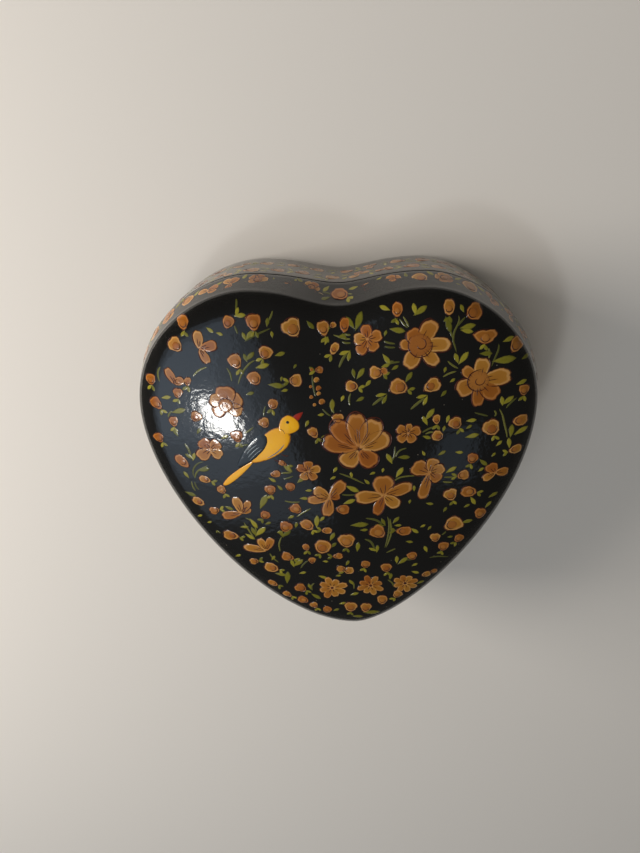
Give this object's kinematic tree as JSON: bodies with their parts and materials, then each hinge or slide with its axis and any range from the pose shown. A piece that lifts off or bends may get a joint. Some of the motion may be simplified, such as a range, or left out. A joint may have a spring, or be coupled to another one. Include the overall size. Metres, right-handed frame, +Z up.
{
  "type": "heart-shaped trinket box",
  "caption": "Heart-shaped lacquered trinket box with a domed lid that lifts off an inner collar.",
  "frame": {"origin": "middle of the box's outer width and length, on the flat face it rests on", "axes": "+Z up from the resting face through the lid's dome; +Y from the heart's point towards its two lobes"},
  "size_m": [0.1142, 0.116, 0.0381],
  "materials": {
    "black_lacquer": "gloss black lacquer over painted flowers, on pressed paper pulp",
    "black_inside_paint": "satin black paint on pressed paper pulp",
    "collar_paint": "satin black paint, rubbed along the rim where the lid slides"
  },
  "bodies": {
    "base": {"base_floor": "black_inside_paint", "base_wall": "black_lacquer", "base_collar": "collar_paint"},
    "lid": {"lid_wall": "black_lacquer", "lid_crown": "black_lacquer"}
  },
  "joints": [
    {"name": "lid_lift", "type": "slide", "parent": "base", "child": "lid", "axis": [0, 0, 1], "range_m": [0, 0.045]}
  ]
}
